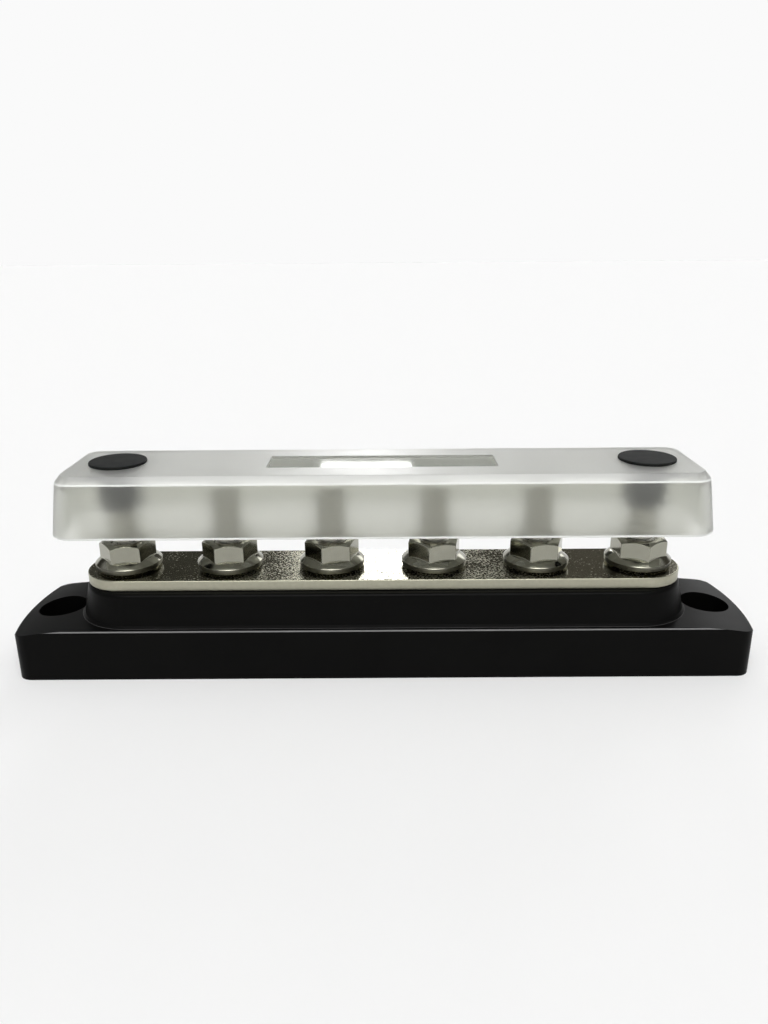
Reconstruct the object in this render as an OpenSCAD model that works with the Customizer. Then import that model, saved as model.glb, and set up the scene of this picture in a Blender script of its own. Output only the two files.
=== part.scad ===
// Covered bus bar: a plated bar with a row of studs on a moulded base, under a frosted push-on cover.
// Millimetres. X runs along the bar, Y runs to the back, Z is up.
// The origin is the middle of the underside.

/* [Terminals] */
// Number of studs
stud_count = 6; // [2:1:10]
// Distance between neighbouring studs
stud_pitch = 28; // [25:0.5:40]
// Thread diameter of a stud
stud_d = 8; // [6:0.5:9]
// Length of a stud under its head
stud_l = 35; // [33:0.5:45]
// Bevel at the tip of a stud
stud_tip = 0.8; // [0.4:0.1:1.2]
// Width across the flats of a stud's head
head_s = 13; // [11:0.5:14]
// Height of a stud's head
head_h = 5.3; // [4:0.1:7]
// Diameter of the stud holes in the bar and the base
stud_hole_d = 8.4; // [8.2:0.1:9.2]

/* [Nuts] */
// Width across the flats of a nut
nut_s = 13; // [12:0.5:14]
// Height of a nut with its flange
nut_h = 8; // [7:0.1:10]
// Diameter of the flange
flange_d = 17.8; // [17:0.1:20]
// Diameter of the flat ring that bears on the bar
bearing_d = 15.8; // [14.5:0.1:16.5]
// Height of the flange's rim
flange_rim = 2; // [1.5:0.1:2.4]
// Height at which the flange's cone runs into the hexagon
flange_cone = 3.9; // [3:0.1:4.6]
// Radial play of a nut on its stud
nut_play = 0.05; // [0.03:0.01:0.1]
// Width of the countersink at each mouth of a nut's thread
nut_sink = 0.6; // [0.3:0.1:0.9]

/* [Bar] */
// Width of the bar, and of its round ends
bar_w = 22; // [20:0.5:30]
// Thickness of the bar
bar_t = 3; // [2:0.5:6]
// Radius along the edges of the bar
bar_edge = 0.3; // [0.2:0.1:0.8]

/* [Base] */
// Height of the plinth and its ears
base_h = 14; // [12:0.5:20]
// Height of the pedestal above the plinth
pedestal_h = 8.8; // [7.5:0.1:12]
// How far the pedestal's top stands out beyond the sides of the bar
pedestal_ledge = 2; // [1.5:0.1:4]
// How far the pedestal's wall leans out from its top to its foot
pedestal_flare = 1.9; // [0.8:0.1:3]
// How far the pedestal's foot reaches past each end of the bar
pedestal_end = 2; // [1.5:0.1:5]
// Radius along the pedestal's top edge
pedestal_edge = 1.2; // [0.5:0.1:1.4]
// Width of the sloped foot around the pedestal
pedestal_foot = 0.6; // [0.3:0.1:0.8]
// Flat strip of plinth along each side of the pedestal
strip_w = 2.1; // [1.6:0.1:5]
// Radius along the plinth's top edges
base_edge = 0.8; // [0.3:0.1:1.2]
// Radius of the plinth's upright corners
base_corner = 4; // [2:0.5:6]
// How far the plinth's ends bow outwards
end_bow = 2.2; // [0.5:0.1:2.5]

/* [Ears] */
// Diameter of the fixing screw's hole
screw_d = 6.5; // [4:0.1:7]
// Diameter of the recess for the screw's head
recess_d = 13; // [11:0.5:15]
// Plastic left under the screw's head
recess_floor = 6; // [3:0.5:9]
// Gap from the pedestal's foot to the recess
recess_gap = 0.5; // [0.2:0.1:4]
// Distance from the screw's hole to the end of the ear
ear_end = 9.4; // [8.5:0.1:14]
// How far the top of an ear falls towards its end
ear_drop = 1.3; // [0.5:0.1:2]

/* [Underside] */
// Plastic between a stud's head and the bar
web_t = 7.5; // [6:0.1:10]
// Side play of a stud's head in its pocket
pocket_play = 0.1; // [0.05:0.05:0.3]
// Wall around the corners of a pocket
boss_wall = 2.4; // [1.5:0.1:3]
// Outer wall left around the cored cells
core_wall = 2.5; // [1.5:0.1:3.5]
// Roof left over the cored cells
core_roof = 3.8; // [2.5:0.1:6]
// Rib from each boss to the side walls
rib_t = 2.5; // [1.5:0.1:4]

/* [Cover] */
// Width of the cover at its rim, under the bevel
cover_w = 29.4; // [28:0.2:36]
// Distance from an end stud to the cover's end at its rim
cover_end = 13.2; // [12:0.1:18]
// Height of the cover
cover_h = 15.8; // [12:0.1:18]
// How far each wall leans out from the rim to the open bottom
cover_flare = 2.05; // [1:0.05:3]
// Radius of the upright corners at the rim
cover_corner = 5; // [4.5:0.1:8]
// Width of the bevel around the top
bevel_w = 1.65; // [1:0.05:2]
// Height of the bevel around the top
bevel_h = 1.9; // [1:0.1:2.5]
// Thickness of the walls
cover_wall = 1.8; // [1.2:0.1:2.2]
// Thickness of the roof
cover_roof = 2; // [1.5:0.1:3]
// Length of the polished label window
window_l = 60; // [20:1:90]
// Width of the label window
window_w = 11.6; // [6:0.2:16]
// Depth of the label window
window_deep = 0.4; // [0.2:0.1:0.8]

/* [Plugs] */
// Diameter of a plug's disc
disc_d = 15; // [13:0.5:18]
// Thickness of the disc
disc_t = 0.8; // [0.6:0.1:2]
// Diameter of the stem under the roof
stem_d = 11; // [10.4:0.1:13]
// Diameter of the neck in the cover's hole
neck_d = 9.8; // [9:0.1:10]
// Solid length of the stem between the roof and the stud's tip
stem_solid = 2.9; // [2:0.1:6]
// Length of stud that a plug grips
grip_l = 7.3; // [4:0.1:9]
// Radial play of a plug on its stud and in the cover's hole
plug_play = 0.05; // [0.03:0.01:0.1]

/* [Hidden] */
$fn = 64;
// How far a cutting tool runs past the face that it cuts
past = 1;

// Places along the row of studs
row_half = (stud_count - 1) * stud_pitch / 2;
function stud_x(i) = (i - 1) * stud_pitch - row_half;
bar_half = row_half + bar_w / 2;

// Heights
bar_z = base_h + pedestal_h;
bar_top = bar_z + bar_t;
seat_z = bar_z - web_t;
stud_top = seat_z + stud_l;
roof_z = stud_top + stem_solid;
cover_top = roof_z + cover_roof;
cover_z = cover_top - cover_h;

// Plan of the base, from the bar outwards
pedestal_top_half = bar_w / 2 + pedestal_ledge;
pedestal_foot_half = pedestal_top_half + pedestal_flare;
pedestal_half = bar_half + pedestal_end;
pedestal_row = pedestal_half - pedestal_foot_half;
base_w = 2 * (pedestal_foot_half + strip_w);
screw_x = pedestal_half + recess_gap + recess_d / 2;
base_half = screw_x + ear_end;

// The bowed ends are arcs of this radius, and the ears start to fall past the pedestal's foot
bow_r = (base_w * base_w / 4 + end_bow * end_bow) / (2 * end_bow);
ear_fall = base_half - pedestal_half - 2 * pedestal_foot;
fall_r = (ear_fall * ear_fall + ear_drop * ear_drop) / (2 * ear_drop);
// A bowed end takes over from the straight plinth here, where its top is still flat over the whole width
end_start = base_half - bow_r + sqrt(pow(bow_r - ear_fall, 2) - base_w * base_w / 4) - past;

// Sizes of the pockets and bosses under the studs
pocket_s = head_s + 2 * pocket_play;
boss_d = pocket_s / cos(30) + 2 * boss_wall;

// Angle at which each nut was left, measured from its first corner to +X
nut_turns = [10, 8, 13, 18, 10, 36];

// Distance from the middle to the corners of a hexagon
function hex_r(s) = s / 2 / cos(30);

// Cutter for a round edge: the sharp corner outside a circle, between the two directions where it touches
module round_cut(r, from, to) {
    middle = (from + to) / 2;
    reach = 2 * r;
    difference() {
        polygon([
            [0, 0],
            reach * [cos(from), sin(from)],
            reach / cos((to - from) / 2) * [cos(middle), sin(middle)],
            reach * [cos(to), sin(to)]
        ]);
        circle(r);
    }
}

// Bar with round ends: half of its section, right of the middle, is swept along X and round both ends
module swept_bar(row) {
    rotate([90, 0, 90])
        linear_extrude(2 * row, center = true) {
            children();
            mirror([1, 0]) children();
        }
    for (side = [0, 180])
        rotate([0, 0, side])
            translate([row, 0, 0])
                rotate([0, 0, -90])
                    rotate_extrude(angle = 180) children();
}

// Straight moulding section of the plinth, with round top edges
module plinth_section() {
    difference() {
        translate([-base_w / 2, 0]) square([base_w, base_h]);
        for (side = [0, 1])
            mirror([side, 0])
                translate([base_w / 2 - base_edge, base_h - base_edge])
                    round_cut(base_edge, 0, 90);
    }
}

// Section of a bowed end, from the centre of its bow: a flat top that falls along an arc to a round edge
module end_section() {
    fall_x = bow_r - ear_fall;
    fall_z = base_h - fall_r;
    edge_x = bow_r - base_edge;
    lean = acos((edge_x - fall_x) / (fall_r - base_edge));
    difference() {
        square([bow_r, base_h]);
        difference() {
            translate([fall_x, base_h - ear_drop - past])
                square([ear_fall + past, ear_drop + 2 * past]);
            translate([fall_x, fall_z]) circle(fall_r);
        }
        translate([edge_x, fall_z + (fall_r - base_edge) * sin(lean)])
            round_cut(base_edge, 0, lean);
    }
}

// Plinth: the straight moulding, closed at both ends by the bowed sections, with round upright corners
module plinth() {
    corner_y = base_w / 2 - base_corner;
    corner_turn = asin(corner_y / (bow_r - base_corner));
    corner_x = base_half - bow_r + (bow_r - base_corner) * cos(corner_turn);
    difference() {
        intersection() {
            rotate([90, 0, 90])
                linear_extrude(2 * base_half + 2 * past, center = true) plinth_section();
            intersection_for(side = [0, 1])
                mirror([side, 0, 0]) {
                    translate([base_half - bow_r, 0, 0])
                        rotate_extrude($fn = 256) end_section();
                    translate([-base_half - 2 * past, -base_w / 2 - past, -past])
                        cube([base_half + 2 * past + end_start, base_w + 2 * past, base_h + 2 * past]);
                }
        }
        for (right = [0, 1], back = [0, 1])
            mirror([right, 0, 0])
                mirror([0, back, 0])
                    translate([corner_x, corner_y, -past])
                        linear_extrude(base_h + 2 * past) round_cut(base_corner, corner_turn, 90);
    }
}

// Half section of the pedestal: a leaning wall with a sloped foot and a round top edge
module pedestal_section() {
    lean = atan(pedestal_flare / pedestal_h);
    edge_z = bar_z - pedestal_edge;
    edge_x = pedestal_top_half + pedestal_edge * tan(lean) - pedestal_edge / cos(lean);
    difference() {
        polygon([
            [0, base_h - past],
            [pedestal_foot_half + pedestal_foot, base_h - past],
            [pedestal_foot_half + pedestal_foot, base_h],
            [pedestal_foot_half - pedestal_foot * tan(lean), base_h + pedestal_foot],
            [pedestal_top_half, bar_z],
            [0, bar_z]
        ]);
        translate([edge_x, edge_z]) round_cut(pedestal_edge, lean, 90);
    }
}

// Cored cell under the pedestal, between one stud's boss and the next
module cell(i) {
    length = stud_pitch - rib_t;
    lower_w = base_w - 2 * core_wall;
    upper_w = 2 * (pedestal_top_half - core_wall);
    difference() {
        translate([stud_x(i) + rib_t / 2, 0, -past]) {
            translate([0, -lower_w / 2, 0]) cube([length, lower_w, base_h - core_wall + past]);
            translate([0, -upper_w / 2, 0]) cube([length, upper_w, bar_z - core_roof + past]);
        }
        for (k = [i, i + 1])
            translate([stud_x(k), 0, -2 * past]) cylinder(d = boss_d, h = bar_z + 4 * past);
    }
}

// Through hole and head recess for a fixing screw
module screw_hole() {
    translate([0, 0, -past]) cylinder(d = screw_d, h = base_h + 2 * past);
    translate([0, 0, recess_floor]) cylinder(d = recess_d, h = base_h);
}

// Hole for a stud, over the pocket that holds its head
module stud_hole() {
    translate([0, 0, -past]) cylinder(d = stud_hole_d, h = bar_z + 2 * past);
    translate([0, 0, -past]) cylinder(r = hex_r(pocket_s), h = seat_z + past, $fn = 6);
}

// Moulded base, all one piece
module base() {
    color("#1a1a1a")
        difference() {
            union() {
                plinth();
                swept_bar(pedestal_row) pedestal_section();
            }
            for (i = [1:stud_count])
                translate([stud_x(i), 0, 0]) stud_hole();
            for (i = [1:stud_count - 1])
                cell(i);
            for (side = [-1, 1])
                translate([side * screw_x, 0, 0]) screw_hole();
        }
}

// Plated bar with round ends and edges
module bus_bar() {
    color("#c6c1ae")
        translate([0, 0, bar_z])
            difference() {
                swept_bar(row_half)
                    difference() {
                        square([bar_w / 2, bar_t]);
                        translate([bar_w / 2 - bar_edge, bar_t - bar_edge]) round_cut(bar_edge, 0, 90);
                        translate([bar_w / 2 - bar_edge, bar_edge]) round_cut(bar_edge, -90, 0);
                    }
                for (i = [1:stud_count])
                    translate([stud_x(i), 0, -past]) cylinder(d = stud_hole_d, h = bar_t + 2 * past);
            }
}

// Hexagon with the corners of its lower end turned down to a cone, as on bolt heads and nuts
module turned_hexagon(s, h) {
    corner = hex_r(s);
    turned = 0.47 * s;
    intersection() {
        cylinder(r = corner, h = h, $fn = 6);
        rotate_extrude()
            polygon([
                [0, 0],
                [turned, 0],
                [corner + past, (corner + past - turned) * tan(30)],
                [corner + past, h],
                [0, h]
            ]);
    }
}

// Stud: a hexagon bolt that stands on its head, with a bevelled tip
module stud(i) {
    color("#b7b7b2")
        translate([stud_x(i), 0, seat_z]) {
            translate([0, 0, -head_h]) turned_hexagon(head_s, head_h);
            cylinder(d = stud_d, h = stud_l - stud_tip);
            translate([0, 0, stud_l - stud_tip])
                cylinder(d1 = stud_d, d2 = stud_d - 2 * stud_tip, h = stud_tip);
        }
}

// Flange under the hexagon of a nut: a bearing ring, a rounded rim and a cone
module nut_flange() {
    rim_x = flange_d / 2;
    rim_step = (flange_d - bearing_d) / 6;
    rotate_extrude()
        polygon([
            [0, 0],
            [bearing_d / 2, 0],
            [rim_x - rim_step, flange_rim / 5],
            [rim_x, flange_rim / 2],
            [rim_x, flange_rim * 4 / 5],
            [rim_x - rim_step, flange_rim],
            [nut_s / 2 - rim_step, flange_cone],
            [0, flange_cone]
        ]);
}

// One-piece flange nut, seated on the bar at the angle it was left at
module nut(i) {
    bore_r = stud_d / 2 + nut_play;
    color("#c2c2bc")
        translate([stud_x(i), 0, bar_top])
            rotate(nut_turns[(i - 1) % len(nut_turns)])
                difference() {
                    union() {
                        nut_flange();
                        translate([0, 0, nut_h]) mirror([0, 0, 1]) turned_hexagon(nut_s, nut_h);
                    }
                    translate([0, 0, -past]) cylinder(r = bore_r, h = nut_h + 2 * past);
                    for (mouth = [0, 1])
                        translate([0, 0, mouth * nut_h])
                            mirror([0, 0, mouth])
                                translate([0, 0, -past])
                                    cylinder(r1 = bore_r + nut_sink + past, r2 = bore_r, h = nut_sink + past);
                }
}

// Drafted box with round upright corners: one corner's section, turned and stretched over the four corners
module drafted_box() {
    hull()
        for (x = [-1, 1], y = [-1, 1])
            translate([
                x * (row_half + cover_end - cover_corner),
                y * (cover_w / 2 - cover_corner),
                0
            ])
                rotate_extrude($fn = 48) children();
}

// Frosted cover: a drafted box with a bevelled top, open below, with a label window and two plug holes
module cover() {
    rim_z = cover_top - bevel_h;
    foot_r = cover_corner + cover_flare;
    slope = cover_flare / (rim_z - cover_z);
    inside_rim = cover_corner - cover_wall;
    inside_foot = foot_r - cover_wall + slope * past;
    color("#dde0dd", 0.7)
        difference() {
            drafted_box()
                polygon([
                    [0, cover_z],
                    [foot_r, cover_z],
                    [cover_corner, rim_z],
                    [cover_corner - bevel_w, cover_top],
                    [0, cover_top]
                ]);
            drafted_box()
                polygon([
                    [0, cover_z - past],
                    [inside_foot, cover_z - past],
                    [inside_rim, roof_z - bevel_w],
                    [inside_rim - bevel_w / 2, roof_z],
                    [0, roof_z]
                ]);
            translate([-window_l / 2, -window_w / 2, cover_top - window_deep])
                cube([window_l, window_w, window_deep + past]);
            for (side = [-1, 1])
                translate([side * row_half, 0, roof_z - past])
                    cylinder(d = neck_d + 2 * plug_play, h = cover_roof + 2 * past);
        }
}

// Soft plug: a thin disc on the cover, a neck through its roof and a bored stem on the stud below
module plug() {
    bore_r = stud_d / 2 + plug_play;
    disc_edge = disc_t / 3;
    color("#2b2c2b")
        rotate_extrude()
            polygon([
                [0, stud_top],
                [bore_r, stud_top],
                [bore_r, stud_top - grip_l],
                [stem_d / 2, stud_top - grip_l],
                [stem_d / 2, roof_z],
                [neck_d / 2, roof_z],
                [neck_d / 2, cover_top],
                [disc_d / 2 - disc_edge, cover_top],
                [disc_d / 2, cover_top + disc_edge],
                [disc_d / 2, cover_top + disc_t - disc_edge],
                [disc_d / 2 - disc_edge, cover_top + disc_t],
                [0, cover_top + disc_t]
            ]);
}

module plug_left() { translate([-row_half, 0, 0]) plug(); }

module plug_right() { translate([row_half, 0, 0]) plug(); }

base();
bus_bar();
for (i = [1:stud_count]) {
    stud(i);
    nut(i);
}
cover();
plug_left();
plug_right();
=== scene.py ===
# %% [markdown]
# # A covered bus bar, dressed in Blender
# The object is a power bus bar: a black moulded base carries a nickel-plated bar with six studs, each stud
# has a flange nut, and a frosted cover is held on the two end studs by soft black plugs. The solids come
# packed from the CAD model and stay where they are. This lesson gives them their finishes, and replaces the
# pieces whose real surface is too fine for the solids: threads, turned edges and the see-through cover.

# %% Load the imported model
import math

import bmesh
import bpy
from mathutils import Matrix, Vector


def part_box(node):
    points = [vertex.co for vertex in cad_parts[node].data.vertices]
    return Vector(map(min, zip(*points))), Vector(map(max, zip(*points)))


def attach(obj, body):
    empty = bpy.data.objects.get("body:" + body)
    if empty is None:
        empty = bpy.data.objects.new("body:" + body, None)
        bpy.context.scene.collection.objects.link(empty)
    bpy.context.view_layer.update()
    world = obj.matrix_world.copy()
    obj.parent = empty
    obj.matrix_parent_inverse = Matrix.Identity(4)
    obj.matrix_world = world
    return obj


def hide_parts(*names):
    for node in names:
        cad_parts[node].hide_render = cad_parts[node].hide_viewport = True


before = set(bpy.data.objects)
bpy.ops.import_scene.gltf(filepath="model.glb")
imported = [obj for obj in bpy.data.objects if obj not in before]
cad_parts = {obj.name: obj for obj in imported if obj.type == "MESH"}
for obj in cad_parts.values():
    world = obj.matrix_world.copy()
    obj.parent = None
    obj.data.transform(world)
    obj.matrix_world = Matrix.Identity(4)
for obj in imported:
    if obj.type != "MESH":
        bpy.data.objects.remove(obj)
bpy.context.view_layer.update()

MM = 0.001
TERMINALS = range(1, 7)

# %% [markdown]
# ## The camera
# The photograph was taken close to the object with a phone-like wide lens, from the front and a little
# above. A camera fitted to the edges of the bar, cover and base gives the numbers below. Blender points a
# camera by its local axes, so the three angles are turned into right, up and backward directions, and those
# become the columns of its matrix. The lens is the focal length for a 36 mm sensor along the picture's long
# side.

# %% Camera
CAMERA_AT = Vector((1.07, -206.76, 110.83)) * MM
CAMERA_YAW, CAMERA_PITCH, CAMERA_ROLL = (math.radians(a) for a in (-0.195, 18.667, -0.439))
CAMERA_LENS = 28.38
# Nearest and farthest distance that the camera sees, in metres
SEEN_FROM, SEEN_TO = 0.01, 100

ahead = Vector((
    math.sin(CAMERA_YAW) * math.cos(CAMERA_PITCH),
    math.cos(CAMERA_YAW) * math.cos(CAMERA_PITCH),
    -math.sin(CAMERA_PITCH),
))
level = Vector((math.cos(CAMERA_YAW), -math.sin(CAMERA_YAW), 0))
upright = level.cross(ahead)
right = math.cos(CAMERA_ROLL) * level + math.sin(CAMERA_ROLL) * upright
up = math.cos(CAMERA_ROLL) * upright - math.sin(CAMERA_ROLL) * level

camera = bpy.data.objects.new("camera", bpy.data.cameras.new("camera"))
camera.data.lens = CAMERA_LENS
camera.data.clip_start, camera.data.clip_end = SEEN_FROM, SEEN_TO
camera.matrix_world = Matrix.Translation(CAMERA_AT) @ Matrix((right, up, -ahead)).transposed().to_4x4()
bpy.context.scene.collection.objects.link(camera)
bpy.context.scene.camera = camera
print("Camera height in mm:", round(camera.location.z / MM, 1))

# %% [markdown]
# ## Helpers for every finish
# A finish in Blender is a small graph of nodes. One function adds a node, fills its settings and wires its
# inputs, so each graph below reads as a list of what feeds what. Colours are written as the sRGB hex values
# that a painter or a web page would use, and one function turns them into the linear light that shaders
# expect. Patterns are given by their real size in millimetres, which one more function turns into a
# texture's scale.

# %% Node, colour and scale helpers
def linear(hex_colour):
    """Linear RGBA of an sRGB hex colour such as '#1a2b3c', by the curve of the sRGB standard."""
    channels = [int(hex_colour[k:k + 2], 16) / 255 for k in (1, 3, 5)]
    return [c / 12.92 if c <= 0.04045 else ((c + 0.055) / 1.055) ** 2.4 for c in channels] + [1.0]


def add_node(tree, kind, settings=None, inputs=None, links=None):
    """Adds a node. settings are its own properties, inputs its socket values, links its wired sockets."""
    node = tree.nodes.new(kind)
    for name, value in (settings or {}).items():
        setattr(node, name, value)
    for socket, value in (inputs or {}).items():
        node.inputs[socket].default_value = value
    for socket, source in (links or {}).items():
        tree.links.new(source, node.inputs[socket])
    return node


def new_finish(name):
    """An empty material, its node tree and the socket that its shader goes to."""
    material = bpy.data.materials.new(name)
    material.use_nodes = True
    material.node_tree.nodes.clear()
    output = add_node(material.node_tree, "ShaderNodeOutputMaterial")
    return material, material.node_tree, output.inputs["Surface"]


def per_mm(size_mm):
    """Texture scale at which one cell of a pattern is this many millimetres wide."""
    return 1 / (size_mm * MM)


print("Mid grey #808080 is", round(linear("#808080")[0], 3), "in linear light")

# %% [markdown]
# ## The studio
# Small metal parts show the room more than they show themselves, so the room is part of the likeness. A
# pale table runs out to a pale horizon. Above the horizon stands a dark wall, a little lighter in its right
# half, with a tall lamp behind the object, a bright panel to the right of it and a dim bounce board to the
# left. A softbox hangs high in front, and a weak lamp overhead fills the shadows. The dark wall gives the
# plated bar its depth, and the tall lamp gives the white streak in the middle of it. Panels could stand
# round the object as in a real studio, but they would get in the way of other views. So the room is drawn
# in the world, far away, where it lights evenly.

# %% Table
bpy.context.scene.view_settings.view_transform = "Standard"

PALE = linear("#fafafa")
TABLE_HALF = 4.0
# The table lies a hair below the base, so that their two faces don't flicker through each other.
TABLE_DROP = 0.02 * MM

paint, tree, surface = new_finish("table_matt_paint")
# Matt white paint: it scatters all light, so it shows only the soft shadow of the object.
shader = add_node(tree, "ShaderNodeBsdfDiffuse", inputs={"Color": PALE})
tree.links.new(shader.outputs["BSDF"], surface)

table_mesh = bpy.data.meshes.new("table")
table_mesh.from_pydata(
    [(x * TABLE_HALF, y * TABLE_HALF, -TABLE_DROP) for x, y in ((-1, -1), (1, -1), (1, 1), (-1, 1))],
    [], [(0, 1, 2, 3)],
)
table_mesh.materials.append(paint)
table = bpy.data.objects.new("table", table_mesh)
bpy.context.scene.collection.objects.link(table)
print("Table", 2 * TABLE_HALF, "m wide")

# %% The room's edges and layers
# Each soft edge in the room: what it is measured along, and where it starts and ends. Across is the tangent
# of the angle from straight behind, height the sine of the angle above the table, and depth the share towards
# the back.
ROOM_EDGES = {
    "behind": ("depth", 0.2, 0.4),
    "wall foot": ("height", 0.243, 0.256), "wall head": ("height", 0.42, 0.66),
    "panel left": ("across", 0.39, 0.46), "panel right": ("across", 0.8, 0.7),
    "bounce left": ("across", -0.8, -0.7), "bounce right": ("across", -0.39, -0.46),
    "right half": ("across", 0.16, 0.22),
    "lamp left": ("across", -0.086, -0.08), "lamp right": ("across", 0.034, 0.028),
    "lamp foot": ("height", 0.2615, 0.2645), "lamp head": ("height", 0.6, 0.55),
    "in front": ("depth", -0.2, -0.4),
    "softbox left": ("across", -1.1, -0.9), "softbox right": ("across", 1.1, 0.9),
    "softbox foot": ("height", 0.68, 0.72), "softbox head": ("height", 0.92, 0.88),
}
# Lamps and panel shine this many times brighter than white paper.
PANEL, LAMP, SOFTBOX = ([level] * 3 + [1.0] for level in (3.0, 8.0, 6.0))
# From the horizon towards the viewer: the colour of each layer, and the edges that it lies between.
ROOM_LAYERS = {
    "dark wall": (linear("#3a3932"), ("wall foot",)),
    "ceiling": (linear("#b1b1b1"), ("wall head",)),
    "lighter wall": (linear("#57544d"), ("behind", "right half", "wall foot", "lamp head")),
    "bounce board": (linear("#787878"), ("behind", "bounce left", "bounce right", "wall foot", "lamp head")),
    "bright panel": (PANEL, ("behind", "panel left", "panel right", "wall foot", "lamp head")),
    "tall lamp": (LAMP, ("behind", "lamp left", "lamp right", "lamp foot", "lamp head")),
    "softbox": (SOFTBOX, ("in front", "softbox left", "softbox right", "softbox foot", "softbox head")),
}
print("The room has", len(ROOM_LAYERS), "layers:", ", ".join(ROOM_LAYERS))

# %% World
world = bpy.data.worlds.new("studio_room")
bpy.context.scene.world = world
world.use_nodes = True
tree = world.node_tree
tree.nodes.clear()

toward = add_node(tree, "ShaderNodeTexCoord")
axes = add_node(tree, "ShaderNodeSeparateXYZ", links={"Vector": toward.outputs["Generated"]}).outputs
slant = add_node(tree, "ShaderNodeMath", {"operation": "DIVIDE"}, links={0: axes["X"], 1: axes["Y"]})
measures = {"across": slant.outputs["Value"], "height": axes["Z"], "depth": axes["Y"]}
edges = {
    name: add_node(tree, "ShaderNodeMapRange", {"interpolation_type": "SMOOTHSTEP"},
                   {"From Min": start, "From Max": end}, {"Value": measures[along]}).outputs["Result"]
    for name, (along, start, end) in ROOM_EDGES.items()
}
room = None
for layer, bounds in ROOM_LAYERS.values():
    inside = edges[bounds[0]]
    for bound in bounds[1:]:
        inside = add_node(tree, "ShaderNodeMath", {"operation": "MULTIPLY"},
                          links={0: inside, 1: edges[bound]}).outputs["Value"]
    under = {"A": room.outputs["Result"]} if room else {}
    room = add_node(tree, "ShaderNodeMix", {"data_type": "RGBA"}, {"A": PALE, "B": layer},
                    {"Factor": inside, **under})
light = add_node(tree, "ShaderNodeBackground", links={"Color": room.outputs["Result"]})
add_node(tree, "ShaderNodeOutputWorld", links={"Surface": light.outputs["Background"]})
print("World nodes:", len(tree.nodes))

# %% Overhead lamp
OVERHEAD_FROM = Vector((-0.02, -0.57, 0.82))
OVERHEAD_LEVEL, OVERHEAD_WIDTH = 0.45, math.radians(20)

overhead = bpy.data.objects.new("overhead_lamp", bpy.data.lights.new("overhead_lamp", "SUN"))
overhead.data.energy, overhead.data.angle = OVERHEAD_LEVEL, OVERHEAD_WIDTH
overhead.rotation_mode = "QUATERNION"
overhead.rotation_quaternion = (-OVERHEAD_FROM).to_track_quat("-Z", "Y")
bpy.context.scene.collection.objects.link(overhead)
print("Overhead lamp level", OVERHEAD_LEVEL)

# %% [markdown]
# ## Building meshes from loops
# Turned and moulded pieces are stacks of loops: each loop is one level of the piece, and neighbouring loops
# are joined by a ring of faces. A modifier could round the edges afterwards, but rounding the outline
# before the loops are made gives exact radii and clean faces. Weighted normals then keep the flat faces
# flat to the eye.

# %% Rounding an outline
ARC_STEPS = 4


def rounded(outline, radii):
    """A polyline with its corners replaced by arcs. radii has a value for each point; the ends stay sharp."""
    points = [Vector(p) for p in outline]
    made = [points[0]]
    for before, corner, after, radius in zip(points, points[1:], points[2:], radii[1:]):
        if not radius:
            made.append(corner)
            continue
        into, out = (before - corner).normalized(), (after - corner).normalized()
        half = into.angle(out) / 2
        centre = corner + (into + out).normalized() * (radius / math.sin(half))
        start = corner + into * (radius / math.tan(half)) - centre
        sweep = start.angle_signed(corner + out * (radius / math.tan(half)) - centre)
        for step in range(ARC_STEPS + 1):
            made.append(centre + Matrix.Rotation(-sweep * step / ARC_STEPS, 2) @ start)
    return [tuple(p) for p in made + [points[-1]]]


print("A square corner rounds into", len(rounded(((0, 0), (1, 0), (1, 1)), (0, 0.5, 0))), "points")

# %% Loops, skins and pieces
SHARP_DEG = 40


def turned_loop(bm, axis_x, radius, z, angles):
    """One level of a turned piece that stands at axis_x in the row of studs, in mm and radians."""
    return [
        bm.verts.new(((axis_x + radius * math.cos(a)) * MM, radius * math.sin(a) * MM, z * MM))
        for a in angles
    ]


def skin(bm, loops):
    """Joins neighbouring loops with faces, or triangles where they share a corner, and returns the faces."""
    made = []
    for low, high in zip(loops, loops[1:]):
        for k in range(len(low)):
            n = (k + 1) % len(low)
            corners = list(dict.fromkeys((low[k], low[n], high[n], high[k])))
            if len(corners) > 2:
                made.append(bm.faces.new(corners))
    return made


def add_piece(name, bm, finishes, body, node, sharp_deg=SHARP_DEG):
    """Makes an object of the mesh, which moves with a CAD body and stands for a CAD node."""
    bmesh.ops.recalc_face_normals(bm, faces=bm.faces)
    mesh = bpy.data.meshes.new(name)
    bm.to_mesh(mesh)
    bm.free()
    mesh.shade_smooth()
    mesh.set_sharp_from_angle(angle=math.radians(sharp_deg))
    for finish in finishes:
        mesh.materials.append(finish)
    piece = bpy.data.objects.new(name, mesh)
    bpy.context.scene.collection.objects.link(piece)
    weighted = piece.modifiers.new("flat_faces_stay_flat", "WEIGHTED_NORMAL")
    weighted.keep_sharp = True
    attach(piece, body)
    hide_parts(node)
    print(name, len(mesh.polygons), "faces")


print("Edges sharper than", SHARP_DEG, "degrees stay sharp")

# %% [markdown]
# ## The base: black moulded plastic
# The base is a thick injection moulding. Its form, with crowned ears and a flared pedestal, is already in
# the solids, so the CAD object stays and only gets a finish. The mould was spark-eroded, which leaves a
# fine satin grain, and plastic shrinks a little unevenly, so the gloss drifts softly over a centimetre or
# two. The plinth's top edge gets a painted highlight. It could be painted on by hand; here it is found from
# the way the surface faces, so it follows the edge by itself.

# %% Finish: black glass-filled nylon, moulded
nylon, tree, surface = new_finish("moulded_black_nylon")
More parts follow.
